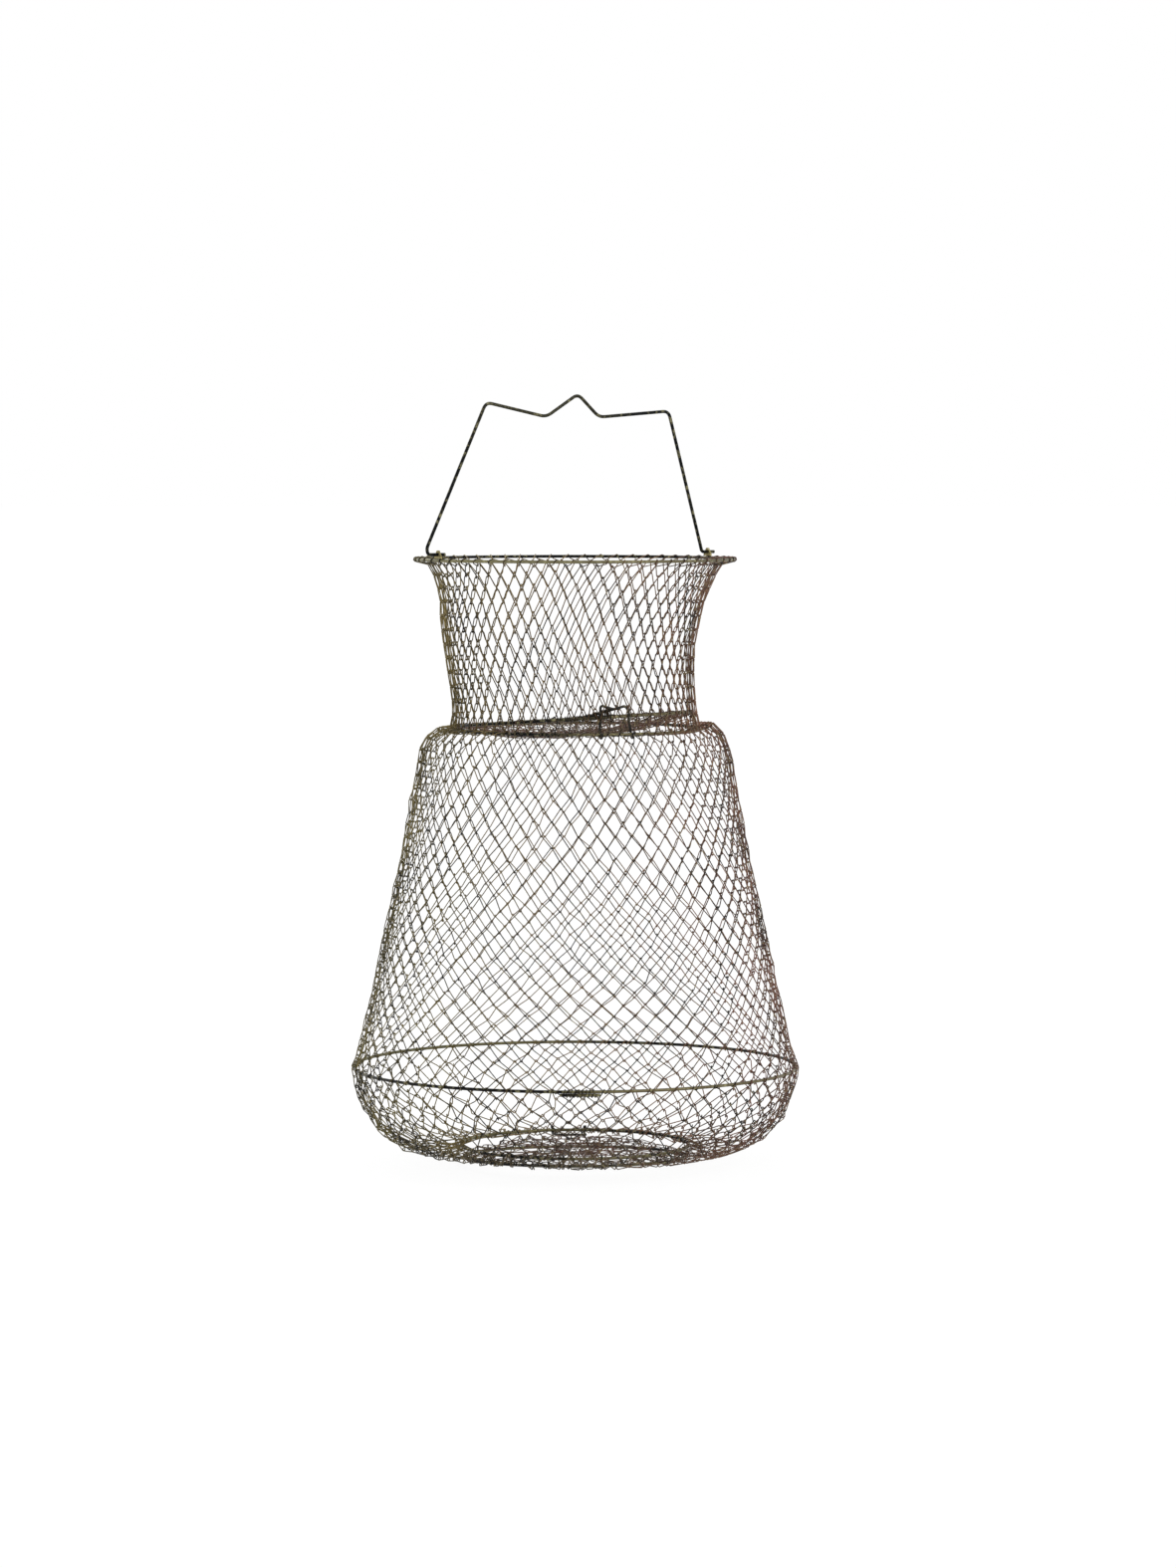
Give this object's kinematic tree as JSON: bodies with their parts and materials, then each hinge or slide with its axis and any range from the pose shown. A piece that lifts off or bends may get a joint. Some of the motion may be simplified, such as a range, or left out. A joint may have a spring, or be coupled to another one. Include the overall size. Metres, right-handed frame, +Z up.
{
  "type": "wire keep net",
  "caption": "Collapsible knitted-wire fish basket: flared neck, wide belly, a hinged lid with a spring-wire clip at each end, and a swinging wire bail.",
  "frame": {"origin": "on the floor, at the middle of the basket, where its bottom lid rests", "axes": "+Z up along the basket from the bottom lid to the bail; the top lid's clip is on the -Y side"},
  "size_m": [0.3324, 0.3324, 0.5658],
  "materials": {
    "hoop_wire": "dark bronzed drawn wire",
    "net_wire": "bronzed knitted wire",
    "lid_wire": "reddish-brown bronzed wire",
    "spring_wire": "dark spring wire",
    "ear_sheet": "brassed sheet"
  },
  "bodies": {
    "base": {"base_ring": "hoop_wire", "base_net": "net_wire"},
    "belly": {"belly_hoop": "hoop_wire", "body_net": "net_wire"},
    "neck": {"neck_ring": "hoop_wire", "neck_net": "net_wire"},
    "rim": {"rim_hoop": "hoop_wire", "bail_ear_left": "ear_sheet", "bail_ear_right": "ear_sheet"},
    "bail": {"bail_handle": "hoop_wire"},
    "top_lid": {"top_lid_hoop": "hoop_wire", "top_lid_net": "lid_wire", "top_lid_catch": "spring_wire", "top_lid_hinge_left": "spring_wire", "top_lid_hinge_right": "spring_wire"},
    "top_latch": {"top_latch_clip": "spring_wire"},
    "bottom_lid": {"bottom_lid_hoop": "hoop_wire", "bottom_lid_net": "lid_wire", "bottom_lid_catch": "spring_wire", "bottom_lid_hinge_left": "spring_wire", "bottom_lid_hinge_right": "spring_wire"},
    "bottom_latch": {"bottom_latch_clip": "spring_wire"}
  },
  "joints": [
    {"name": "belly_slide", "type": "slide", "parent": "base", "child": "belly", "axis": [0, 0, 1], "range_m": [-0.039, 0], "deforming": ["base_net"]},
    {"name": "neck_slide", "type": "slide", "parent": "belly", "child": "neck", "axis": [0, 0, 1], "range_m": [-0.228, 0], "deforming": ["body_net"]},
    {"name": "rim_slide", "type": "slide", "parent": "neck", "child": "rim", "axis": [0, 0, 1], "range_m": [-0.104, 0], "deforming": ["neck_net"]},
    {"name": "bail_swing", "type": "hinge", "parent": "rim", "child": "bail", "pos_m": [0, 0, 0.4494], "axis": [-0.8434, -0.5373, 0], "range_deg": [-88, 88]},
    {"name": "top_lid_swing", "type": "hinge", "parent": "neck", "child": "top_lid", "pos_m": [-0.03093, 0.08497, 0.319], "axis": [0.9397, 0.342, 0], "range_deg": [-40, 85]},
    {"name": "top_latch_swing", "type": "hinge", "parent": "neck", "child": "top_latch", "pos_m": [0.03107, -0.08536, 0.319], "axis": [0.9397, 0.342, 0], "range_deg": [0, 20]},
    {"name": "bottom_lid_swing", "type": "hinge", "parent": "base", "child": "bottom_lid", "pos_m": [0.00585, -0.08363, 0.00825], "axis": [-0.9976, -0.0698, 0], "range_deg": [0, 100]},
    {"name": "bottom_latch_swing", "type": "hinge", "parent": "base", "child": "bottom_latch", "pos_m": [-0.00588, 0.08408, 0.00825], "axis": [-0.9976, -0.0698, 0], "range_deg": [0, 100]}
  ]
}
